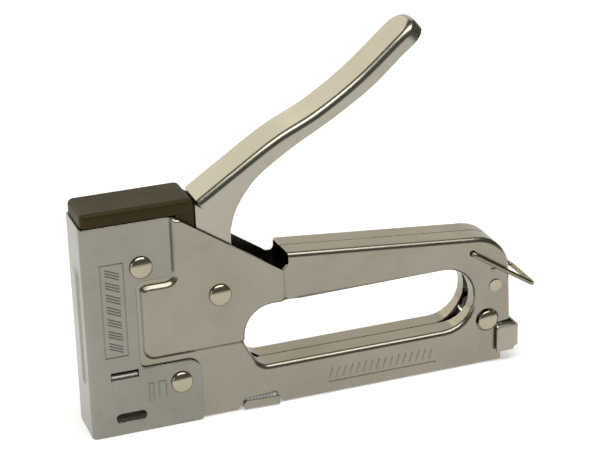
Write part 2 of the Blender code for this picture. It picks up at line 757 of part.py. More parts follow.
def wire_bail():
    """One bent wire: two ends in the shells' holes, two legs and a cross bar."""
    start = Vector((BAIL_PIVOT[0], BAIL_PIVOT[1]))
    leg = Vector((BAIL_TIP[0], BAIL_TIP[1])) - start
    along = leg.normalized()
    length = leg.length
    bend, steps = 2.2, 4

    def at(distance, y):
        place = start + along * distance
        return (place.x, y, place.y)

    half = [at(0.0, 6.4), at(0.0, BAIL_HALF - 1.4), at(0.4, BAIL_HALF - 0.4), at(1.4, BAIL_HALF)]
    for k in range(steps + 1):
        angle = math.pi / 2 * k / steps
        half.append(at(length - bend + bend * math.sin(angle), BAIL_HALF - bend + bend * math.cos(angle)))
    points = half + [(x, -y, z) for x, y, z in reversed(half)]
    bail = wire("wire_bail", points, BAIL_WIRE, SPRING_STEEL)
    attach(pivot_empty("bail_axis", (BAIL_PIVOT[0], 0.0, BAIL_PIVOT[1])), bail)


def build():
    shared = shell_cutters()
    side_shell("left_side_shell", -1, shared)
    side_shell("right_side_shell", 1, shared)
    nose_shell()
    top_cap()
    rivets()
    spacers()
    lever_group()
    return_spring()
    hammer_group()
    power_spring()
    head_fittings()
    magazine()
    magazine_group()
    wire_bail()


build()
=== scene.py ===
"""Finished looks for a hand staple gun: pressed shells, plated nose, channel lever, rivets and bail.

Sizes in this file are millimetres until a mesh is made. X runs from the nose to the rear, Y across
with the near side at -Y, and Z up. The two halves meet at y = 0.
"""
import math

import bmesh
import bpy
from mathutils import Matrix, Vector


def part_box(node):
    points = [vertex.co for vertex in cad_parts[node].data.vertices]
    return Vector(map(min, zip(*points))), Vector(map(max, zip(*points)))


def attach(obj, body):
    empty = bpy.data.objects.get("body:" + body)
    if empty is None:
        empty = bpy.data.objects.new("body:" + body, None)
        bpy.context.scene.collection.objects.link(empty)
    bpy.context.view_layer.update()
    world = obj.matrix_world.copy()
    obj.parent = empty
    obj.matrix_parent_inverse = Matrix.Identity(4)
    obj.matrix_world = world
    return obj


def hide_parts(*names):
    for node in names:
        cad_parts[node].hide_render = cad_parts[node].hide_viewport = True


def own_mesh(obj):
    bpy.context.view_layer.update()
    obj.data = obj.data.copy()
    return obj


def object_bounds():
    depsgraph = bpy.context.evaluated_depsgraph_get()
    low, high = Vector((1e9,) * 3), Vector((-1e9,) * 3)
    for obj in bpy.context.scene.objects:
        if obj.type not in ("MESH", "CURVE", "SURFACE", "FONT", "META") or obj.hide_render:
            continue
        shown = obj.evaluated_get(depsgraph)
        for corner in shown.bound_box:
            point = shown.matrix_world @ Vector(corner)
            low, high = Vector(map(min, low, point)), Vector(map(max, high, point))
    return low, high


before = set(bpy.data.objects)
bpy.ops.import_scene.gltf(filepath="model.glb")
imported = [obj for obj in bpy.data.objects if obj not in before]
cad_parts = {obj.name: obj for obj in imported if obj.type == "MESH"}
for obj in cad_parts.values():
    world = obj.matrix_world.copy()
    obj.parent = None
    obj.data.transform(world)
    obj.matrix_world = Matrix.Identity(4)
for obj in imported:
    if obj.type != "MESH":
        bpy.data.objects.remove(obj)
cad_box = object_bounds()

MM = 0.001
WELD = 0.00001            # metres: vertices nearer than this are one
ARC_STEP = 12.0           # degrees of turn for each edge of a rounded corner
SHARP = 48.0              # degrees: faces that meet more steeply than this keep their edge
CUT_ANGLE = 50.0          # degrees: faces that meet more steeply than this do so at a cut edge
FACE_WEIGHT = 80          # how strongly large faces lead the shading normals
REACH = 20.0              # cutters run this far to each side of the centre

# ---------------------------------------------------------------- sizes

SHELL_HALF = 8.8
SHELL_WALL = 0.9
SHELL_BEND = 2.0
SEAM = 0.15               # each half stops this far from the centre plane
SPLIT = 80.0              # the blank of a half shell is drawn as two faces that meet here
SPLIT_TOP = 59.77
ROWS_END = 61.0           # level cuts for the plateau's step stop at this x

# The raised pivot area: the middle of the step along each side, the steps' widths and corner radii
PLATEAU_RISE = 1.7
PLATEAU_FRONT = 20.7
PLATEAU_SHOULDER = 56.6
PLATEAU_HEAD = 33.4
PLATEAU_FOOT = 28.6
PLATEAU_REAR = 74.3
PLATEAU_TOP = 80.8
SIDE_STEP = 2.4
SHOULDER_STEP = 2.0
REAR_STEP = 3.6
TOP_STEP = 1.5
SHOULDER_ROUND = 0.9
PLATEAU_ROUND = 1.6

# The flanges' gaps at the loop's corners
LOOP_REAR = (138.8, 28.95)     # middle of the loop's round rear end
REAR_GAP_RING = (12.0, 13.5)   # radii between which the rear gap lies
REAR_GAP_START = 140.0         # x
REAR_GAP_TURN = -22.0          # degrees: where it is widest
REAR_GAP_SPREAD = 62.0         # degrees to each side
REAR_GAP = 2.5
FRONT_GAP_X = (58.0, 66.5)
FRONT_GAP_Z = (16.0, 24.0)
FRONT_GAP_MIDDLE = 18.0
FRONT_GAP_SPREAD = 4.5
FRONT_GAP = 1.7

FRONT_BLANK = [
    (1.3, 0.5, 0.0), (55.0, 0.5, 0.0), (56.0, 1.5, 0.0), (58.5, 1.5, 0.0), (58.5, 4.4, 0.8),
    (70.5, 5.3, 0.8), (70.5, 1.5, 0.0), (72.0, 1.5, 0.0), (73.0, 0.5, 0.0), (SPLIT, 0.5, 0.0),
    (SPLIT, 16.3, 0.0), (64.4, 16.3, 6.0), (58.6, 27.2, 4.0), (58.6, 41.6, 11.0), (SPLIT, 41.6, 0.0),
    (SPLIT, SPLIT_TOP, 0.0), (76.4, 60.11, 0.0), (76.4, 54.7, 2.2), (73.6, 54.7, 0.0),
    (34.4, 81.5, 0.0), (33.8, 81.9, 0.0), (1.3, 81.9, 0.0),
]
REAR_BLANK = [
    (SPLIT, 0.5, 0.0), (162.3, 0.5, 0.0), (162.3, 4.0, 0.0), (160.8, 4.0, 0.0), (160.8, 16.4, 0.0),
    (166.5, 17.0, 0.0), (165.3, 52.0, 15.0), (150.0, 53.2, 0.0), (SPLIT, SPLIT_TOP, 0.0),
    (SPLIT, 41.6, 0.0), (151.2, 41.6, 12.4), (151.2, 16.3, 12.4), (SPLIT, 16.3, 0.0),
]

# The nose's side: a narrow strap between a wider foot and a wider head
NOSE_FRONT = -0.45
FOOT_TOP = 25.4
STRAP_REAR = 18.8
HEAD_BASE = 59.4
STRAP_MIDDLE = 40.0       # the upper cutout's corners are above this, the lower one's below
HEAD_REAR = 32.2
STRAP_ROUND = 2.5
HEAD_ROUND = 1.8
NOSE_SIDE = [
    (NOSE_FRONT, 0.0, 0.0), (40.7, 0.0, 0.0), (41.6, 1.2, 0.0), (41.6, FOOT_TOP, 5.0),
    (STRAP_REAR, FOOT_TOP, STRAP_ROUND), (STRAP_REAR, HEAD_BASE, STRAP_ROUND),
    (HEAD_REAR, HEAD_BASE, HEAD_ROUND), (HEAD_REAR, 82.4, 0.0), (NOSE_FRONT, 82.4, 0.0),
]
NOSE_HALF = 10.0
NOSE_WALL = 0.9
NOSE_BEND = 2.0
EDGE_DIP = 0.28           # the nose's sides dip in this far at their rear edge
EDGE_DIP_WIDTH = 2.2
FRONT_BOW = 0.6           # height of the raised field on the nose's front

LEVER_WEB = [(43.0, 85.6), (57.0, 94.8), (73.0, 104.9), (89.0, 112.7), (104.5, 122.8), (119.0, 134.9)]
LEVER_TIP = [(127.3, 141.8), (131.4, 136.9)]
LEVER_EDGE = [(121.5, 129.2), (109.0, 118.5), (93.5, 108.7), (78.2, 100.2), (65.1, 91.1), (57.7, 81.2),
              (55.1, 73.1)]
LEVER_HALF = 8.7
LEVER_WALL = 1.2
LEVER_BEND = 2.6
LEVER_TIP_ROUND = 7.4
LUG_RADIUS = 7.4

PIVOT = (49.5, 49.4)
NOSE_RIVET_UPPER = (20.9, 65.1)
NOSE_RIVET_LOWER = (33.7, 17.2)
REAR_RIVET = (159.6, 32.4)
CATCH_PIN = (156.4, 18.4)
CATCH_HOLE = 4.6
HEAD_ARC = 84.0           # degrees: how far a domed head turns over
RIVET_SIDES = 48

# Rivets right across: name, place, shank radius, head radius, face, height, slot, CAD node
THROUGH_RIVETS = [
    ("pivot_rivet", PIVOT, 2.6, 4.2, 10.55, 2.1, "rivet_steel", "lever_pivot_pin"),
    ("nose_rivet_low", NOSE_RIVET_LOWER, 1.8, 4.1, 10.05, 2.1, "rivet_steel", "nose_rivet_lower"),
    ("catch_rivet", CATCH_PIN, 2.2, 4.0, 9.3, 1.8, "rivet_steel", "catch_pin"),
    ("bar_rivet", REAR_RIVET, 1.5, 2.5, 8.85, 0.5, "shell_steel", "rear_rivet"),
]

BAIL_PIVOT = (150.0, 47.1)
BAIL_TIP = (175.4, 30.4)
BAIL_HALF = 10.2
BAIL_WIRE = 0.9
BAIL_HOLE = 1.15
BAIL_ROOT_BEND = 1.7
BAIL_CORNER_BEND = 2.4

CLIP_WALL = 0.9
CLIP_BEND = 1.6
CLIP_FLARE = 0.35         # the clip's front edge springs out this far
CLIP_FLARE_LENGTH = 1.4

SPRING_X = 14.5
ROD_HEIGHT = 13.3

STAPLE_PITCH = 1.25
STAPLE_GAP = 0.04
STAPLE_WIRE = 0.7


# ---------------------------------------------------------------- shader groups

def node(tree, kind, **settings):
    """A node with its properties and the values of its input sockets."""
    made = tree.nodes.new(kind)
    for key, value in settings.items():
        if key in made.inputs:
            made.inputs[key].default_value = value
        else:
            setattr(made, key, value)
    return made


def shader_group(name, inputs, outputs):
    """An empty shader node group with named sockets, and its input and output nodes."""
    tree = bpy.data.node_groups.new(name, "ShaderNodeTree")
    for label, kind, value in inputs:
        socket = tree.interface.new_socket(label, in_out="INPUT", socket_type=kind)
        socket.default_value = value
    for label, kind in outputs:
        tree.interface.new_socket(label, in_out="OUTPUT", socket_type=kind)
    return tree, tree.nodes.new("NodeGroupInput"), tree.nodes.new("NodeGroupOutput")


def noise(tree, coordinates, scale, detail, stretch=(1.0, 1.0, 1.0)):
    """Noise on the piece's own coordinates, stretched along an axis where a scale is small."""
    placed = node(tree, "ShaderNodeMapping", Scale=stretch)
    pattern = node(tree, "ShaderNodeTexNoise", Scale=scale, Detail=detail)
    tree.links.new(coordinates, placed.inputs["Vector"])
    tree.links.new(placed.outputs["Vector"], pattern.inputs["Vector"])
    return pattern.outputs["Fac"]


def spread(tree, value, low, high):
    """Map a range of a value to 0 to 1, held at its ends."""
    mapped = node(tree, "ShaderNodeMapRange")
    mapped.inputs["From Min"].default_value = low
    mapped.inputs["From Max"].default_value = high
    mapped.inputs["To Min"].default_value = 0.0
    mapped.inputs["To Max"].default_value = 1.0
    tree.links.new(value, mapped.inputs["Value"])
    return mapped.outputs["Result"]


def sum_of(tree, operation, first, second):
    """Two values put together with a Math operation; each is a socket or a plain number."""
    made = node(tree, "ShaderNodeMath", operation=operation)
    for slot, value in zip(made.inputs, (first, second)):
        if isinstance(value, (int, float)):
            slot.default_value = value
        else:
            tree.links.new(value, slot)
    return made.outputs["Value"]


def blend_colours(tree, factor, first, second):
    mixed = node(tree, "ShaderNodeMix", data_type="RGBA")
    tree.links.new(factor, mixed.inputs["Factor"])
    tree.links.new(first, mixed.inputs["A"])
    tree.links.new(second, mixed.inputs["B"])
    return mixed.outputs["Result"]


def plating_group():
    """Plated sheet: cloudy haze, handling marks, fine scratches and a slightly rippled face."""
    tree, start, end = shader_group(
        "plated_sheet",
        [("Plating", "NodeSocketColor", (0.5, 0.5, 0.5, 1.0)),
         ("Haze", "NodeSocketColor", (0.4, 0.4, 0.4, 1.0)),
         ("Haze Amount", "NodeSocketFloat", 0.5), ("Polish", "NodeSocketFloat", 0.2),
         ("Scratches", "NodeSocketFloat", 0.5), ("Ripple", "NodeSocketFloat", 0.5)],
        [("Color", "NodeSocketColor"), ("Roughness", "NodeSocketFloat"), ("Height", "NodeSocketFloat")])
    place = node(tree, "ShaderNodeTexCoord").outputs["Object"]
    clouds = spread(tree, noise(tree, place, scale=38.0, detail=4.0), low=0.35, high=0.7)
    blooms = spread(tree, noise(tree, place, scale=160.0, detail=3.0), low=0.5, high=0.75)
    along = noise(tree, place, scale=1.0, detail=2.0, stretch=(90.0, 900.0, 5200.0))
    down = noise(tree, place, scale=1.0, detail=2.0, stretch=(4800.0, 900.0, 110.0))
    lines = sum_of(tree, "ADD", spread(tree, along, low=0.66, high=0.74),
                   spread(tree, down, low=0.68, high=0.76))
    specks = spread(tree, noise(tree, place, scale=2600.0, detail=2.0), low=0.3, high=0.8)
    swell = noise(tree, place, scale=75.0, detail=1.0)

    haze = sum_of(tree, "MULTIPLY", sum_of(tree, "ADD", clouds, sum_of(tree, "MULTIPLY", blooms, 0.5)),
                  start.outputs["Haze Amount"])
    scratch = sum_of(tree, "MULTIPLY", lines, start.outputs["Scratches"])
    tree.links.new(blend_colours(tree, haze, start.outputs["Plating"], start.outputs["Haze"]),
                   end.inputs["Color"])
    rough = sum_of(tree, "ADD", start.outputs["Polish"], sum_of(tree, "MULTIPLY", haze, 0.07))
    rough = sum_of(tree, "ADD", rough, sum_of(tree, "MULTIPLY", scratch, 0.12))
    rough = sum_of(tree, "ADD", rough, sum_of(tree, "MULTIPLY", specks, 0.03))
    tree.links.new(rough, end.inputs["Roughness"])
    height = sum_of(tree, "MULTIPLY", swell, start.outputs["Ripple"])
    height = sum_of(tree, "SUBTRACT", height, sum_of(tree, "MULTIPLY", scratch, 0.02))
    height = sum_of(tree, "ADD", height, sum_of(tree, "MULTIPLY", specks, 0.004))
    tree.links.new(height, end.inputs["Height"])
    return tree


def moulding_group():
    """Moulded plastic or rubber: fine grain and paler rubbed patches."""
    tree, start, end = shader_group(
        "moulded_grain",
        [("Body", "NodeSocketColor", (0.02, 0.02, 0.02, 1.0)),
         ("Rubbed", "NodeSocketColor", (0.1, 0.1, 0.1, 1.0)),
         ("Rubbed Amount", "NodeSocketFloat", 0.4), ("Polish", "NodeSocketFloat", 0.4),
         ("Grain", "NodeSocketFloat", 0.5)],
        [("Color", "NodeSocketColor"), ("Roughness", "NodeSocketFloat"), ("Height", "NodeSocketFloat")])
    place = node(tree, "ShaderNodeTexCoord").outputs["Object"]
    patches = spread(tree, noise(tree, place, scale=55.0, detail=5.0), low=0.42, high=0.72)
    grain = noise(tree, place, scale=1900.0, detail=3.0)
    rubbed = sum_of(tree, "MULTIPLY", patches, start.outputs["Rubbed Amount"])
    tree.links.new(blend_colours(tree, rubbed, start.outputs["Body"], start.outputs["Rubbed"]),
                   end.inputs["Color"])
    rough = sum_of(tree, "ADD", start.outputs["Polish"], sum_of(tree, "MULTIPLY", grain, 0.16))
    tree.links.new(sum_of(tree, "SUBTRACT", rough, sum_of(tree, "MULTIPLY", rubbed, 0.12)),
                   end.inputs["Roughness"])
    tree.links.new(sum_of(tree, "MULTIPLY", grain, start.outputs["Grain"]), end.inputs["Height"])
    return tree


PLATING = plating_group()
MOULDING = moulding_group()


def new_material(name):
    made = bpy.data.materials.new(name)
    made.use_nodes = True
    return made, made.node_tree, made.node_tree.nodes["Principled BSDF"]


def place_group(tree, group, values):
    placed = node(tree, "ShaderNodeGroup", node_tree=group)
    for label, value in values.items():
        placed.inputs[label].default_value = (*value, 1.0) if isinstance(value, tuple) else value
    return placed


def add_bump(tree, shader, height, distance):
    bump = node(tree, "ShaderNodeBump", Strength=1.0, Distance=distance)
    tree.links.new(height, bump.inputs["Height"])
    tree.links.new(bump.outputs["Normal"], shader.inputs["Normal"])


def metal(name, plating, haze, haze_amount, polish, scratches, ripple):
    made, tree, shader = new_material(name)
    sheet = place_group(tree, PLATING, {"Plating": plating, "Haze": haze, "Haze Amount": haze_amount,
                                        "Polish": polish, "Scratches": scratches, "Ripple": ripple})
    tree.links.new(sheet.outputs["Color"], shader.inputs["Base Color"])
    tree.links.new(sheet.outputs["Roughness"], shader.inputs["Roughness"])
    shader.inputs["Metallic"].default_value = 1.0
    add_bump(tree, shader, sheet.outputs["Height"], distance=0.00025)
    return made


def moulded(name, body, rubbed, amount, polish, grain, gloss, tint):
    made, tree, shader = new_material(name)
    mould = place_group(tree, MOULDING, {"Body": body, "Rubbed": rubbed, "Rubbed Amount": amount,
                                         "Polish": polish, "Grain": grain})
    tree.links.new(mould.outputs["Color"], shader.inputs["Base Color"])
    tree.links.new(mould.outputs["Roughness"], shader.inputs["Roughness"])
    shader.inputs["Specular IOR Level"].default_value = gloss
    shader.inputs["Specular Tint"].default_value = (*tint, 1.0)
    add_bump(tree, shader, mould.outputs["Height"], distance=0.0001)
    return made


# Metals: name, plating, haze, haze amount, polish, scratches, ripple.
# Mouldings: name, body, rubbed, rubbed amount, polish, grain, gloss, tint.
FINISH = {
    "shell": metal("shell_nickel", (0.300, 0.277, 0.225), (0.245, 0.225, 0.178), 0.5, 0.24, 0.4, 0.7),
    "nose": metal("nose_nickel", (0.264, 0.256, 0.223), (0.217, 0.208, 0.172), 0.5, 0.22, 0.4, 0.6),
    "lever": metal("lever_nickel", (0.365, 0.343, 0.285), (0.315, 0.293, 0.235), 0.45, 0.21, 0.4, 0.4),
    "rivet": metal("rivet_steel", (0.42, 0.375, 0.285), (0.34, 0.30, 0.22), 0.5, 0.19, 0.3, 0.1),
    "wire": metal("bail_wire", (0.27, 0.24, 0.17), (0.19, 0.165, 0.115), 0.6, 0.2, 0.3, 0.1),
    "clip": metal("clip_steel", (0.36, 0.335, 0.28), (0.29, 0.265, 0.215), 0.5, 0.17, 0.4, 0.3),
    "inner": metal("inner_steel", (0.10, 0.095, 0.085), (0.05, 0.045, 0.04), 0.7, 0.42, 0.6, 0.6),
    "spring": metal("spring_wire", (0.22, 0.21, 0.20), (0.12, 0.11, 0.10), 0.6, 0.28, 0.2, 0.1),
    "blade": metal("blade_steel", (0.52, 0.51, 0.49), (0.40, 0.38, 0.35), 0.5, 0.16, 0.9, 0.2),
    "staple": metal("staple_wire", (0.58, 0.57, 0.55), (0.45, 0.44, 0.42), 0.5, 0.18, 0.4, 0.1),
    "brass": metal("bush_brass", (0.44, 0.35, 0.19), (0.30, 0.23, 0.12), 0.6, 0.3, 0.6, 0.2),
    "cap": moulded("cap_plastic", (0.028, 0.020, 0.007), (0.038, 0.028, 0.011), 0.5, 0.44, 0.4,
                   0.22, (1.0, 0.85, 0.48)),
    "rubber": moulded("bumper_rubber", (0.015, 0.015, 0.015), (0.06, 0.06, 0.055), 0.5, 0.72, 0.8,
                      0.4, (1.0, 1.0, 1.0)),
}


# ---------------------------------------------------------------- mesh helpers

def add_blank(sheet, corners, across):
    """A flat face at y = across, anticlockwise seen from -Y, with its corners rounded."""
    points = [sheet.verts.new((x * MM, across * MM, z * MM)) for x, z, _ in corners]
    sheet.faces.new(points)
    for index, (x, z, radius) in enumerate(corners):
        if not radius:
            continue
        here = Vector((x, z))
        before = Vector(corners[index - 1][:2]) - here
        after = Vector(corners[(index + 1) % len(corners)][:2]) - here
        opening = before.angle(after)
        bmesh.ops.bevel(sheet, geom=[points[index]], offset=radius / math.tan(opening / 2) * MM,
                        offset_type="OFFSET", affect="VERTICES", profile=0.5, material=-1,
                        segments=max(2, round(math.degrees(math.pi - opening) / ARC_STEP)))


def through(points, steps):
    """Points on a smooth curve through a few given ones."""
    ends = [points[0], *points, points[-1]]
    curve = []
    for a, b, c, d in zip(ends, ends[1:], ends[2:], ends[3:]):
        for k in range(steps):
            t = k / steps
            curve.append(tuple(
                0.5 * (2 * b[i] + (c[i] - a[i]) * t + (2 * a[i] - 5 * b[i] + 4 * c[i] - d[i]) * t * t
                       + (3 * b[i] - a[i] - 3 * c[i] + d[i]) * t ** 3) for i in range(len(b))))
    curve.append(points[-1])
    return curve


def round_edges(shape, edges, radius, segments):
    bmesh.ops.bevel(shape, geom=edges, offset=radius * MM, offset_type="OFFSET", affect="EDGES",
                    segments=segments, profile=0.5, material=-1, clamp_overlap=False, loop_slide=True)


def steep(edge):
    """Whether the faces at an edge meet more steeply than a bend does."""
    return edge.calc_face_angle(0.0) > math.radians(CUT_ANGLE)


def mid(edge):
    """The middle of an edge in millimetres."""
    return (edge.verts[0].co + edge.verts[1].co) / 2 / MM


def slice_along(shape, axis, places, limit=None):
    """Cut faces on planes across an axis; with a limit, only faces whose x is nowhere past it."""
    for place in places:
        faces = [f for f in shape.faces
                 if limit is None or all(v.co.x <= limit * MM + WELD for v in f.verts)]
        geometry = set(faces)
        for face in faces:
            geometry.update(face.edges)
            geometry.update(face.verts)
        point = Vector((0.0, 0.0, 0.0))
        normal = Vector((0.0, 0.0, 0.0))
        point[axis] = place * MM
        normal[axis] = 1.0
        bmesh.ops.bisect_plane(shape, geom=list(geometry), dist=WELD, plane_co=point, plane_no=normal)


def steps_between(low, high, pitch):
    count = round((high - low) / pitch)
    return [low + (high - low) * k / count for k in range(count + 1)]


def ease(value):
    """0 below 0, 1 above 1 and a smooth rise between."""
    t = min(max(value, 0.0), 1.0)
    return t * t * (3 - 2 * t)


def block(shape, low, high, radius=0.0, segments=3):
    """Add a box between two corners, its edges rounded if a radius is given."""
    made = bmesh.ops.create_cube(shape, size=1.0)["verts"]
    for vertex in made:
        vertex.co = Vector([(a + b) / 2 + c * (b - a) for a, b, c in zip(low, high, vertex.co)]) * MM
    if radius:
        round_edges(shape, list({e for v in made for e in v.link_edges}), radius, segments)


def object_from(shape, name):
    mesh = bpy.data.meshes.new(name)
    shape.to_mesh(mesh)
    shape.free()
    item = bpy.data.objects.new(name, mesh)
    bpy.context.scene.collection.objects.link(item)
    return item


def applied(item):
    """The object with its modifiers made part of its mesh."""
    bpy.context.view_layer.update()
    graph = bpy.context.evaluated_depsgraph_get()
    mesh = bpy.data.meshes.new_from_object(item.evaluated_get(graph))
    item.modifiers.clear()
    item.data = mesh
    return item


def carve(item, *shapes):
    """Cut closed bmesh shapes out of an object."""
    for shape in shapes:
        bmesh.ops.recalc_face_normals(shape, faces=shape.faces)
        cutter = object_from(shape, item.name + "_cutter")
        step = item.modifiers.new("cut", "BOOLEAN")
        step.operation = "DIFFERENCE"
        step.solver = "EXACT"
        step.object = cutter
        applied(item)
        bpy.data.objects.remove(cutter, do_unlink=True)
    return item


def thicken(item, wall):
    """Give an open sheet its wall, inwards from the face it shows."""
    step = item.modifiers.new("wall", "SOLIDIFY")
    step.thickness = wall * MM
    step.offset = -1.0
    step.use_even_offset = True
    return applied(item)


def ease_edges(item, radius, segments=2):
    """Take the sharpness off cut edges."""
    step = item.modifiers.new("edges", "BEVEL")
    step.width = radius * MM
    step.segments = segments
    step.limit_method = "ANGLE"
    step.angle_limit = math.radians(CUT_ANGLE)
    step.use_clamp_overlap = False
    return applied(item)


def finish(item, look, body, slot, *nodes):
    """Smooth shading, material, body and the CAD nodes that a piece stands for; slot is not used."""
    item.data.materials.clear()
    item.data.materials.append(FINISH[look])
    item.data.shade_smooth()
    item.data.set_sharp_from_angle(angle=math.radians(SHARP))
    step = item.modifiers.new("shading", "WEIGHTED_NORMAL")
    step.mode = "FACE_AREA"
    step.weight = FACE_WEIGHT
    step.keep_sharp = True
    applied(item)
    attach(item, body)
    if nodes:
        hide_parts(*nodes)
    return item


# ---------------------------------------------------------------- half shells

def round_inside(a, b, radius):
    """Distance inside both of two edges whose convex corner is rounded."""
    return max(radius, min(a, b)) - math.hypot(max(radius - a, 0.0), max(radius - b, 0.0))


def round_either(a, b, radius):
    """Distance inside either of two edges whose concave corner is rounded."""
    return min(-radius, max(a, b)) + math.hypot(max(radius + a, 0.0), max(radius + b, 0.0))


def plateau_height(x, z):
    """How far the raised pivot area stands out at a point, from 0 to 1."""
    low_block = round_inside((x - PLATEAU_FRONT) / SIDE_STEP, (PLATEAU_SHOULDER - z) / SHOULDER_STEP,
                             SHOULDER_ROUND)
    inside = round_either(low_block, (x - PLATEAU_HEAD) / SIDE_STEP, PLATEAU_ROUND)
    inside = round_inside(inside, (z - PLATEAU_FOOT) / SIDE_STEP, PLATEAU_ROUND)
    inside = min(inside, (PLATEAU_REAR - x) / REAR_STEP, (PLATEAU_TOP - z) / TOP_STEP)
    return ease(inside + 0.5)


def seam_gap(x, z):
    """How far a flange's edge draws back from the centre where the loop's corners stretch it."""
    across, up = x - LOOP_REAR[0], z - LOOP_REAR[1]
    if REAR_GAP_RING[0] < math.hypot(across, up) < REAR_GAP_RING[1] and x > REAR_GAP_START:
        turn = math.degrees(math.atan2(up, across))
        return REAR_GAP * max(0.0, 1.0 - ((turn - REAR_GAP_TURN) / REAR_GAP_SPREAD) ** 2)
    if FRONT_GAP_X[0] < x < FRONT_GAP_X[1] and FRONT_GAP_Z[0] < z < FRONT_GAP_Z[1]:
        return FRONT_GAP * max(0.0, 1.0 - ((z - FRONT_GAP_MIDDLE) / FRONT_GAP_SPREAD) ** 2)
    return 0.0


def half_shell():
    """The near half as an open sheet: side, bends and the flanges that meet at the seam."""
    sheet = bmesh.new()
    add_blank(sheet, FRONT_BLANK, -SHELL_HALF)
    add_blank(sheet, REAR_BLANK, -SHELL_HALF)
    bmesh.ops.remove_doubles(sheet, verts=sheet.verts, dist=WELD)
    rims = []
    for edge in sheet.edges:
        if not edge.is_boundary:
            continue
        place = mid(edge)
        in_loop = 58.0 < place.x < 152.0 and 16.0 < place.z < 42.0
        on_back = (place.z > 53.0 and place.x > 76.6) or (place.x > 152.0 and place.z > 17.2)
        if in_loop or on_back:
            rims.append(edge)
    grown = bmesh.ops.extrude_edge_only(sheet, edges=rims)["geom"]
    for vertex in [g for g in grown if isinstance(g, bmesh.types.BMVert)]:
        vertex.co.y = -(SEAM + seam_gap(vertex.co.x / MM, vertex.co.z / MM)) * MM
    round_edges(sheet, rims, SHELL_BEND, 7)

    columns = [*steps_between(19.8, 25.2, 0.3), *steps_between(29.6, 34.3, 0.3),
               *steps_between(72.3, 76.3, 0.4)]
    rows = [*steps_between(27.2, 32.8, 0.3), *steps_between(54.6, 60.3, 0.3),
            *steps_between(79.4, 81.7, 0.35)]
    slice_along(sheet, 0, [*columns, ROWS_END], SPLIT)
    slice_along(sheet, 2, rows, ROWS_END)
    flat = (SHELL_HALF - SHELL_BEND) * MM
    for vertex in sheet.verts:
        out = min(1.0, max(0.0, (-vertex.co.y - SEAM * MM) / (flat - SEAM * MM)))
        vertex.co.y -= PLATEAU_RISE * MM * out * plateau_height(vertex.co.x / MM, vertex.co.z / MM)
    return sheet


def disc_cutter(place, radius, sides):
    """A closed cylinder right across the tool."""
    shape = bmesh.new()
    bmesh.ops.create_cone(shape, cap_ends=True, segments=sides, radius1=radius * MM, radius2=radius * MM,
                          depth=2 * REACH * MM)
    bmesh.ops.rotate(shape, cent=(0, 0, 0), matrix=Matrix.Rotation(math.pi / 2, 3, "X"), verts=shape.verts)
    bmesh.ops.translate(shape, vec=Vector((place[0], 0.0, place[1])) * MM, verts=shape.verts)
    return shape


def slab(corners, low, high):
    """A closed plate across Y with a rounded outline."""
    shape = bmesh.new()
    add_blank(shape, corners, low)
    grown = bmesh.ops.extrude_face_region(shape, geom=list(shape.faces))["geom"]
    moved = [g for g in grown if isinstance(g, bmesh.types.BMVert)]
    bmesh.ops.translate(shape, vec=(0.0, (high - low) * MM, 0.0), verts=moved)
    bmesh.ops.recalc_face_normals(shape, faces=shape.faces)
    return shape


def nose_openings(margin):
    """Cutters for the round-ended slot and the vent window low on the nose's sides."""
    def opening(x0, z0, x1, z1, radius):
        low_x, low_z, high_x, high_z = x0 - margin, z0 - margin, x1 + margin, z1 + margin
        return slab([(low_x, low_z, radius), (high_x, low_z, radius), (high_x, high_z, radius),
                     (low_x, high_z, radius)], -REACH, REACH)

    return opening(8.6, 5.1, 19.9, 8.6, 1.7), opening(7.6, 22.3, 17.8, 25.5, 0.2)


def tab_shape(side):
    """The lifted tab at the lower edge, as a plate that swings out from the side."""
    half_wall, middle, swing, offset = 0.45, 64.2, 0.05, 9.6
    shape = slab([(57.2, 0.5, 0.7), (71.2, 0.5, 0.5), (71.2, 3.8, 0.8), (57.2, 3.8, 1.4)],
                 -half_wall, half_wall)
    round_edges(shape, [e for e in shape.edges if steep(e)], 0.2, 2)
    bmesh.ops.rotate(shape, cent=Vector((middle, 0.0, 0.0)) * MM,
                     matrix=Matrix.Rotation(side * swing, 3, "Z"), verts=shape.verts)
    bmesh.ops.translate(shape, vec=(0.0, side * offset * MM, 0.0), verts=shape.verts)
    return shape


def flip_across(shape):
    """Turn a near-side shape into its far-side twin."""
    for vertex in shape.verts:
        vertex.co.y = -vertex.co.y
    bmesh.ops.reverse_faces(shape, faces=shape.faces)


def join_shape(item, shape):
    """Add a closed shape to an object's mesh."""
    whole = bmesh.new()
    whole.from_mesh(item.data)
    extra = bpy.data.meshes.new("extra")
    shape.to_mesh(extra)
    shape.free()
    whole.from_mesh(extra)
    whole.to_mesh(item.data)
    whole.free()
    bpy.data.meshes.remove(extra)


def build_shell(name, side, cad_node):
    sheet = half_shell()
    if side > 0:
        flip_across(sheet)
    shell = thicken(object_from(sheet, name), SHELL_WALL)
    carve(shell, disc_cutter(CATCH_PIN, CATCH_HOLE, 40), disc_cutter(BAIL_PIVOT, BAIL_HOLE, 24),
          *nose_openings(0.6))
    ease_edges(shell, 0.2)
    join_shape(shell, tab_shape(side))
    finish(shell, "shell", "frame", "shell_steel", cad_node)


# ---------------------------------------------------------------- nose

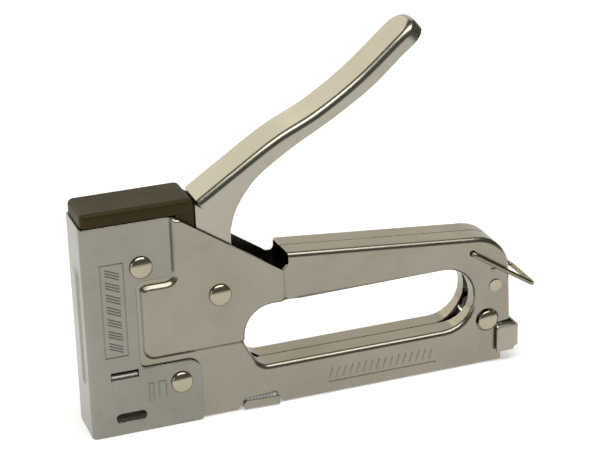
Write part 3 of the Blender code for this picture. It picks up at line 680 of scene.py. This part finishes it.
def folded(corners, half, fold_x, bend):
    """A U-shaped sheet: two mirrored sides and the wall that joins them at fold_x."""
    sheet = bmesh.new()
    add_blank(sheet, corners, -half)
    far = bmesh.new()
    add_blank(far, corners, -half)
    flip_across(far)
    twin = bpy.data.meshes.new("twin")
    far.to_mesh(twin)
    far.free()
    sheet.from_mesh(twin)
    bpy.data.meshes.remove(twin)
    fold = [e for e in sheet.edges if all(abs(v.co.x - fold_x * MM) < WELD for v in e.verts)]
    bmesh.ops.bridge_loops(sheet, edges=fold)
    round_edges(sheet, fold, bend, 7)
    return sheet


def cutout_distance(x, z):
    """Distance from the nose's rear edge, measured into its side."""
    if z > STRAP_MIDDLE:
        opening = round_inside(x - STRAP_REAR, HEAD_BASE - z, STRAP_ROUND)
        return -round_either(opening, x - HEAD_REAR, HEAD_ROUND)
    return -round_inside(x - STRAP_REAR, z - FOOT_TOP, STRAP_ROUND)


def nose_sheet():
    sheet = folded(NOSE_SIDE, NOSE_HALF, NOSE_FRONT, NOSE_BEND)
    slice_along(sheet, 0, [15.9, 16.5, 17.1, 17.7, 18.3, 29.4, 30.0, 30.6, 31.2, 31.7])
    slice_along(sheet, 2, [22.7, 23.3, 23.9, 24.5, 25.0, 59.9, 60.4, 61.0, 61.6])
    for vertex in sheet.verts:
        x, z = vertex.co.x / MM, vertex.co.z / MM
        near = 1.0 - ease(cutout_distance(x, z) / EDGE_DIP_WIDTH)
        if x > 8.0 and z > 21.0:
            vertex.co.y -= math.copysign(EDGE_DIP * near * MM, vertex.co.y)
    slice_along(sheet, 1, [-4.2, -3.6, -3.0, -2.4, -1.6, 0.0, 1.6, 2.4, 3.0, 3.6, 4.2])
    slice_along(sheet, 2, [18.6, 19.4, 20.2, 21.0, 62.0, 63.0, 64.0, 65.0, 66.0])
    front = NOSE_FRONT * MM
    for vertex in sheet.verts:
        if abs(vertex.co.x - front) > WELD:
            continue
        y, z = abs(vertex.co.y) / MM, vertex.co.z / MM
        bow = ease((3.9 - y) / 1.8) * ease((z - 18.8) / 2.0) * ease((65.8 - z) / 3.6)
        vertex.co.x -= FRONT_BOW * bow * MM
    return sheet


def build_nose():
    nose = thicken(object_from(nose_sheet(), "nose_wrap"), NOSE_WALL)
    carve(nose, *nose_openings(0.0))
    ease_edges(nose, 0.3, 3)
    finish(nose, "nose", "frame", "nose_chrome", "nose_shell")


def both_sides(name, shapes, look, slot):
    """Raised details on the near side and their twins on the far side, as one piece."""
    whole = bmesh.new()
    for shape in shapes:
        for far in (False, True):
            mesh = bpy.data.meshes.new("detail")
            copy = shape.copy()
            if far:
                flip_across(copy)
            copy.to_mesh(mesh)
            copy.free()
            whole.from_mesh(mesh)
            bpy.data.meshes.remove(mesh)
        shape.free()
    finish(object_from(whole, name), look, "frame", slot)


def raised_bar(x0, z0, x1, z1, face, height=0.15):
    """A low rounded bar on a side face at y = -face, sunk a little into it."""
    sunk, radius = 0.1, 0.2
    shape = bmesh.new()
    block(shape, (x0, -(face + height), z0), (x1, -(face - sunk), z1), radius, 2)
    return shape


def tilted(shape, degrees):
    """Turn a raised detail in the plane of the side it stands on."""
    centre = sum((v.co for v in shape.verts), Vector()) / len(shape.verts)
    bmesh.ops.rotate(shape, cent=centre, matrix=Matrix.Rotation(math.radians(degrees), 3, "Y"),
                     verts=shape.verts)
    return shape


def nose_details():
    """A framed field of plain hatching, two bent marks and the flap that bends into the vent window."""
    face, line, slant, pitch = NOSE_HALF, 0.42, 24.0, 4.75
    frame_bars = [
        raised_bar(5.8, 31.8, 6.2, 68.0, face), raised_bar(14.2, 31.8, 14.6, 68.0, face),
        raised_bar(5.8, 31.6, 14.6, 32.0, face), raised_bar(5.8, 67.8, 14.6, 68.2, face),
    ]
    for k in range(7):
        low = 34.2 + k * pitch
        for rise in (0.0, 1.1, 2.2):
            frame_bars.append(tilted(raised_bar(7.4, low + rise, 13.0, low + rise + line, face), slant))
    both_sides("nose_pattern", frame_bars, "nose", "nose_chrome")

    icons = []
    stroke, raised = 0.4, 0.18
    for x, low, high, width in ((21.2, 11.6, 19.0, 1.6), (24.9, 12.6, 19.0, 2.6)):
        icons.append(raised_bar(x, low, x + stroke, high, face, raised))
        icons.append(raised_bar(x + width, low, x + width + stroke, high, face, raised))
        icons.append(raised_bar(x, high - 0.3, x + width + stroke, high + 0.2, face, raised))
    both_sides("nose_staple_marks", icons, "nose", "nose_chrome")

    bend_start, bend_length, bent_in = 22.4, 3.0, 2.2
    flap = slab([(7.7, 14.3, 0.6), (17.7, 14.3, 0.6), (17.7, 24.9, 0.0), (7.7, 24.9, 0.0)],
                -(face + 0.12), -(face - 0.5))
    round_edges(flap, [e for e in flap.edges if steep(e)], 0.15, 2)
    slice_along(flap, 2, steps_between(bend_start, 24.8, 0.3))
    for vertex in flap.verts:
        vertex.co.y += bent_in * ease((vertex.co.z / MM - bend_start) / bend_length) * MM
    both_sides("nose_window_flap", [flap], "nose", "nose_chrome")


# ---------------------------------------------------------------- cap

def build_cap():
    """The cap, rounded more at its upright corners than along its top, and the wedge behind it."""
    base, corner, rim, wedge_half = 82.8, 2.4, 1.9, 9.2
    shape = bmesh.new()
    low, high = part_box("top_cap")
    low, high = low / MM, high / MM
    block(shape, (low.x, low.y, base), (high.x, high.y, high.z))
    upright = [e for e in shape.edges if abs(e.verts[0].co.z - e.verts[1].co.z) > MM]
    round_edges(shape, upright, corner, 6)
    top = [e for e in shape.edges if all(v.co.z > high.z * MM - WELD for v in e.verts) and steep(e)]
    round_edges(shape, top, rim, 6)
    plug = slab([(34.8, 85.0, 0.0), (34.8, 81.6, 0.0), (40.2, 77.0, 0.4), (41.4, 77.0, 0.4),
                 (41.4, 85.0, 0.0)], -wedge_half, wedge_half)
    cap = object_from(shape, "cap_moulding")
    join_shape(cap, plug)
    finish(cap, "cap", "frame", "cap_plastic", "top_cap")


# ---------------------------------------------------------------- rivets

def dome_profile(radius, face, height):
    """Radius and distance out from the centre, from the crown to the rim of a domed head."""
    points = []
    count, rim = 10, 0.25
    for k in range(count + 1):
        angle = math.radians(HEAD_ARC) * k / count
        points.append((radius * math.sin(angle) / math.sin(math.radians(HEAD_ARC)),
                       face + rim + (height - rim) * math.cos(angle)))
    points.append((radius * 0.985, face + 0.06))
    points.append((radius * 0.96, face))
    return points


def turned(name, profile, place, slot, cad_node):
    """A rivet turned about an axis across Y from a profile of (radius, y)."""
    shape = bmesh.new()
    points = [shape.verts.new(Vector((place[0] + r, y, place[1])) * MM) for r, y in profile]
    edges = [shape.edges.new(pair) for pair in zip(points, points[1:])]
    bmesh.ops.spin(shape, geom=points + edges, cent=Vector((place[0], 0.0, place[1])) * MM, axis=(0, 1, 0),
                   angle=2 * math.pi, steps=RIVET_SIDES, use_merge=True)
    bmesh.ops.remove_doubles(shape, verts=shape.verts, dist=WELD)
    bmesh.ops.recalc_face_normals(shape, faces=shape.faces)
    finish(object_from(shape, name), "rivet", "frame", slot, cad_node)


def build_rivets():
    """The rivets with a head on each side, then the short ones that stop inside each half."""
    for name, place, shank, head, face, height, slot, cad_node in THROUGH_RIVETS:
        near = [(r, -y) for r, y in dome_profile(head, face, height)] + [(shank, -face)]
        far = [(r, -y) for r, y in reversed(near)]
        turned(name, near + far, place, slot, cad_node)

    face, shank, inside, end = 10.05, 2.1, 7.6, 7.2
    for side, tag in ((-1, "left"), (1, "right")):
        outer = [(r, side * y) for r, y in dome_profile(4.2, face, 2.1)]
        inner = [(shank, side * face), (shank, side * inside), (3.2, side * inside), (3.0, side * end),
                 (0.0, side * end)]
        turned("nose_rivet_" + tag, outer + inner, NOSE_RIVET_UPPER, "rivet_steel",
               "nose_rivet_upper_" + tag)


# ---------------------------------------------------------------- lever

def lever_sheet():
    """The lever as an open sheet: top web, closed tip and two side plates with pivot lugs."""
    lug = [(PIVOT[0] + LUG_RADIUS * math.cos(a), PIVOT[1] + LUG_RADIUS * math.sin(a))
           for a in (math.radians(180.0 + 20.0 * k) for k in range(10))]
    top = through(LEVER_WEB, 6)
    below = through(LEVER_EDGE, 5)
    outline = [*reversed(top), (42.1, 85.0), *lug, (55.0, 68.0), *reversed(below), *reversed(LEVER_TIP)]
    sheet = bmesh.new()
    add_blank(sheet, [(x, z, 0.0) for x, z in outline], -LEVER_HALF)
    grown = bmesh.ops.extrude_face_region(sheet, geom=sheet.faces[:])["geom"]
    moved = [g for g in grown if isinstance(g, bmesh.types.BMVert)]
    bmesh.ops.translate(sheet, vec=(0.0, 2 * LEVER_HALF * MM, 0.0), verts=moved)
    bmesh.ops.recalc_face_normals(sheet, faces=sheet.faces)

    def among(points, vertex):
        return any(math.hypot(vertex.co.x - x * MM, vertex.co.z - z * MM) < WELD for x, z in points)

    shown = (*top, *LEVER_TIP)
    hidden = [f for f in sheet.faces if abs(f.normal.y) < 0.5 and not all(among(shown, v) for v in f.verts)]
    bmesh.ops.delete(sheet, geom=hidden, context="FACES_ONLY")
    bmesh.ops.delete(sheet, geom=[e for e in sheet.edges if not e.link_faces], context="EDGES")
    corners = [e for e in sheet.edges if len(e.link_faces) == 2 and all(among(LEVER_TIP, v) for v in e.verts)
               and abs(e.verts[0].co.y - e.verts[1].co.y) < WELD]
    round_edges(sheet, corners, LEVER_TIP_ROUND, 9)
    rims = []
    for edge in sheet.edges:
        if len(edge.link_faces) != 2:
            continue
        bend = edge.calc_face_angle(0.0)
        web = [f for f in edge.link_faces if abs(f.normal.y) < 0.05 and f.normal.z > 0.5]
        if bend > math.radians(60) and web:
            rims.append(edge)
    round_edges(sheet, rims, LEVER_BEND, 8)
    return sheet


def build_lever():
    lever = thicken(object_from(lever_sheet(), "lever_channel"), LEVER_WALL)
    ease_edges(lever, 0.25)
    finish(lever, "lever", "lever", "lever_steel", "lever_handle")


# ---------------------------------------------------------------- rear clip

def build_clip():
    """A bent channel, flared a little at its front edges, and the lug that holds the rod."""
    low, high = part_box("rear_clip")
    low, high = low / MM, high / MM
    side = [(low.x, low.z, 0.6), (166.9, low.z, 0.0), (167.6, low.z + 1.5, 0.0), (high.x, low.z + 1.5, 0.0),
            (high.x, high.z, 0.0), (low.x, high.z, 0.8)]
    sheet = folded(side, high.y, high.x, CLIP_BEND)
    slice_along(sheet, 0, [low.x + 0.3, low.x + 0.6, low.x + 0.9, low.x + 1.3])
    for vertex in sheet.verts:
        lift = 1.0 - ease((vertex.co.x / MM - low.x) / CLIP_FLARE_LENGTH)
        vertex.co.y += math.copysign(CLIP_FLARE * lift * MM, vertex.co.y)
    clip = thicken(object_from(sheet, "clip_channel"), CLIP_WALL)
    ease_edges(clip, 0.25)
    lug = bmesh.new()
    block(lug, (165.5, -2.2, 11.6), (169.0, 2.2, 14.5), 0.4, 2)
    join_shape(clip, lug)
    finish(clip, "clip", "follower", "shell_steel", "rear_clip")


# ---------------------------------------------------------------- wires

def wire(name, points, radius, look, body, slot, cad_node):
    """A round wire along points, in millimetres, with closed ends."""
    curve = bpy.data.curves.new(name, "CURVE")
    curve.dimensions = "3D"
    curve.bevel_depth = radius * MM
    curve.bevel_resolution = 4
    curve.use_fill_caps = True
    spline = curve.splines.new("POLY")
    spline.points.add(len(points) - 1)
    for point, place in zip(spline.points, points):
        point.co = (*[c * MM for c in place], 1.0)
    item = bpy.data.objects.new(name, curve)
    bpy.context.scene.collection.objects.link(item)
    bpy.context.view_layer.update()
    graph = bpy.context.evaluated_depsgraph_get()
    mesh = bpy.data.meshes.new_from_object(item.evaluated_get(graph))
    bpy.data.objects.remove(item, do_unlink=True)
    shape = bmesh.new()
    shape.from_mesh(mesh)
    bmesh.ops.remove_doubles(shape, verts=shape.verts, dist=WELD / 4)
    bmesh.ops.recalc_face_normals(shape, faces=shape.faces)
    return finish(object_from(shape, name), look, body, slot, cad_node)


def build_bail():
    """Two ends in the shells' holes, two legs and a cross bar, bent from one wire."""
    start = Vector(BAIL_PIVOT)
    leg = Vector(BAIL_TIP) - start
    along = leg.normalized()
    length = leg.length

    def at(distance, y):
        place = start + along * distance
        return (place.x, y, place.y)

    root, corner = BAIL_ROOT_BEND, BAIL_CORNER_BEND
    root_steps, corner_steps = 6, 8
    half = [at(0.0, 6.4), at(0.0, BAIL_HALF - 1.9)]
    for k in range(1, root_steps + 1):
        angle = math.pi / 2 * k / root_steps
        half.append(at(root - root * math.cos(angle), BAIL_HALF - root + root * math.sin(angle)))
    for k in range(corner_steps + 1):
        angle = math.pi / 2 * k / corner_steps
        half.append(at(length - corner + corner * math.sin(angle),
                       BAIL_HALF - corner + corner * math.cos(angle)))
    points = half + [(x, -y, z) for x, y, z in reversed(half)]
    wire("bail_loop_wire", points, BAIL_WIRE, "wire", "bail", "spring_steel", "wire_bail")


def build_springs():
    """The power spring over the hammer, the long one on the rod and the one round the pivot."""
    low, high, radius, thick = 48.1, 78.3, 5.2, 0.8
    turns, sides = 8, 28
    coil = []
    for k in range(turns * sides + 1):
        angle = 2 * math.pi * k / sides
        coil.append((SPRING_X + radius * math.cos(angle), radius * math.sin(angle),
                     low + (high - low) * k / (turns * sides)))
    drive = wire("drive_spring", coil, thick, "spring", "frame", "spring_steel", "power_spring")
    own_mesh(drive)

    start, length, radius, thick = 94.0, 70.0, 1.45, 0.3
    turns, sides = 18, 16
    coil = []
    for k in range(turns * sides + 1):
        angle = 2 * math.pi * k / sides
        coil.append((start + length * k / (turns * sides), radius * math.cos(angle),
                     ROD_HEIGHT + radius * math.sin(angle)))
    follower = wire("follower_spring", coil, thick, "spring", "follower", "spring_steel", "pusher_spring")
    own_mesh(follower)

    first, offset, radius, rise = math.radians(80.0), 3.4, 5.3, 1.36
    turns, sides = 2.5, 24
    coil = [(48.2, offset, 72.0), (48.6, offset, 60.0)]
    for k in range(int(turns * sides) + 1):
        angle = first - 2 * math.pi * k / sides
        coil.append((PIVOT[0] + radius * math.cos(angle), offset + rise * k / sides,
                     PIVOT[1] + radius * math.sin(angle)))
    coil.append((53.4, 6.9, 38.0))
    wire("return_spring", coil, 0.6, "spring", "frame", "spring_steel", "lever_return_spring")


# ---------------------------------------------------------------- staples and small parts

def build_staples():
    """A full strip: one staple, repeated along the rail."""
    low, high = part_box("staple_strip")
    low, high = low / MM, high / MM
    rear, leg_top, radius = low.x + (STAPLE_PITCH - STAPLE_GAP), high.z - 0.1, 0.12
    shape = bmesh.new()
    block(shape, (low.x, low.y, high.z - STAPLE_WIRE), (rear, high.y, high.z), radius, 1)
    block(shape, (low.x, low.y, low.z), (rear, low.y + STAPLE_WIRE, leg_top), radius, 1)
    block(shape, (low.x, high.y - STAPLE_WIRE, low.z), (rear, high.y, leg_top), radius, 1)
    strip = object_from(shape, "staples")
    row = strip.modifiers.new("row", "ARRAY")
    row.use_relative_offset = False
    row.use_constant_offset = True
    row.constant_offset_displace = (STAPLE_PITCH * MM, 0.0, 0.0)
    row.count = int((high.x - low.x) / STAPLE_PITCH)
    applied(strip)
    finish(strip, "staple", "frame", "staple_wire", "staple_strip")


def build_details():
    """A row of slanted ribs over a line on the lower bar, and the small bump by the rear rivet."""
    count, pitch, width, slant = 16, 2.7, 0.42, 18.0
    ribs = []
    for k in range(count):
        x = 92.0 + k * pitch
        ribs.append(tilted(raised_bar(x, 6.2, x + width, 10.6, SHELL_HALF, 0.2), slant))
    ribs.append(raised_bar(91.0, 4.6, 135.0, 5.0, SHELL_HALF, 0.18))
    radius, sunk = 1.1, 0.35
    bump = bmesh.new()
    bmesh.ops.create_uvsphere(bump, u_segments=20, v_segments=10, radius=radius * MM)
    bmesh.ops.translate(bump, vec=Vector((158.6, -(SHELL_HALF - sunk), 39.2)) * MM, verts=bump.verts)
    ribs.append(bump)
    both_sides("bar_pattern", ribs, "shell", "shell_steel")


def dress_cad_nodes():
    looks = {
        "inner": ("lifting_arm", "hammer_block", "rear_spacer", "catch_bush", "spring_seat", "driver_guide",
                  "bumper_bracket", "magazine_rail"),
        "spring": ("guide_rod",),
        "lever": ("arm_rivet_front", "arm_rivet_rear"),
        "blade": ("driver_blade",),
        "brass": ("pivot_bush", "pusher"),
        "rubber": ("bumper",),
    }
    for look, names in looks.items():
        for name in names:
            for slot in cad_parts[name].material_slots:
                slot.material = FINISH[look]


# ---------------------------------------------------------------- stage, light and camera

def area_light(name, place, target, size, power, colour):
    """A rectangular lamp aimed at a target, or straight down without one."""
    data = bpy.data.lights.new(name, "AREA")
    data.shape = "RECTANGLE"
    data.size, data.size_y = size
    data.energy = power
    data.color = colour
    item = bpy.data.objects.new(name, data)
    item.location = place
    if target:
        item.rotation_euler = (Vector(target) - Vector(place)).to_track_quat("-Z", "Y").to_euler()
    bpy.context.scene.collection.objects.link(item)


def build_stage():
    shape = bmesh.new()
    bmesh.ops.create_grid(shape, x_segments=1, y_segments=1, size=4.0)
    floor = object_from(shape, "floor")
    made, _, shader = new_material("floor_paper")
    shader.inputs["Base Color"].default_value = (0.86, 0.86, 0.85, 1.0)
    shader.inputs["Roughness"].default_value = 0.9
    shader.inputs["Emission Color"].default_value = (1.0, 1.0, 1.0, 1.0)
    shader.inputs["Emission Strength"].default_value = 0.42
    floor.data.materials.append(made)
    floor.location.z = cad_box[0][2]

    world = bpy.data.worlds.new("studio")
    world.use_nodes = True
    world.node_tree.nodes["Background"].inputs["Color"].default_value = (0.13, 0.127, 0.125, 1.0)
    bpy.context.scene.world = world
    area_light("top_softbox", (0.12, -0.30, 1.15), None, (1.35, 0.62), 11.5, (1.0, 0.99, 0.97))
    area_light("left_panel", (-1.3, 0.0, 0.45), (0.1, 0.0, 0.05), (0.8, 0.5), 2.8, (0.94, 0.97, 1.0))
    area_light("back_left", (-0.65, 1.5, 0.75), (-0.1, 0.0, 0.1), (1.5, 1.5), 10.6, (1.0, 0.95, 0.83))
    area_light("back_right", (0.72, 1.5, 0.75), (0.2, 0.0, 0.1), (1.5, 1.5), 6.5, (1.0, 0.95, 0.84))


def build_camera():
    """A camera above and to the left of the tool, turned a little about its own axis."""
    azimuth, elevation, roll = (math.radians(v) for v in (-19.67, 23.26, -1.46))
    back = Vector((math.sin(azimuth) * math.cos(elevation), -math.cos(azimuth) * math.cos(elevation),
                   math.sin(elevation)))
    right = Vector((0.0, 0.0, 1.0)).cross(back).normalized()
    up = back.cross(right)
    turned_right = right * math.cos(roll) + up * math.sin(roll)
    turned_up = up * math.cos(roll) - right * math.sin(roll)
    data = bpy.data.cameras.new("camera")
    data.lens = 116.1
    camera = bpy.data.objects.new("camera", data)
    matrix = Matrix((turned_right, turned_up, back)).transposed().to_4x4()
    matrix.translation = Vector((-0.134739, -0.612872, 0.346364))
    camera.matrix_world = matrix
    bpy.context.scene.collection.objects.link(camera)
    bpy.context.scene.camera = camera
    bpy.context.scene.view_settings.view_transform = "Standard"


build_shell("shell_left", -1, "left_side_shell")
build_shell("shell_right", 1, "right_side_shell")
build_nose()
nose_details()
build_cap()
build_rivets()
build_lever()
build_clip()
build_bail()
build_springs()
build_staples()
build_details()
dress_cad_nodes()
build_stage()
build_camera()
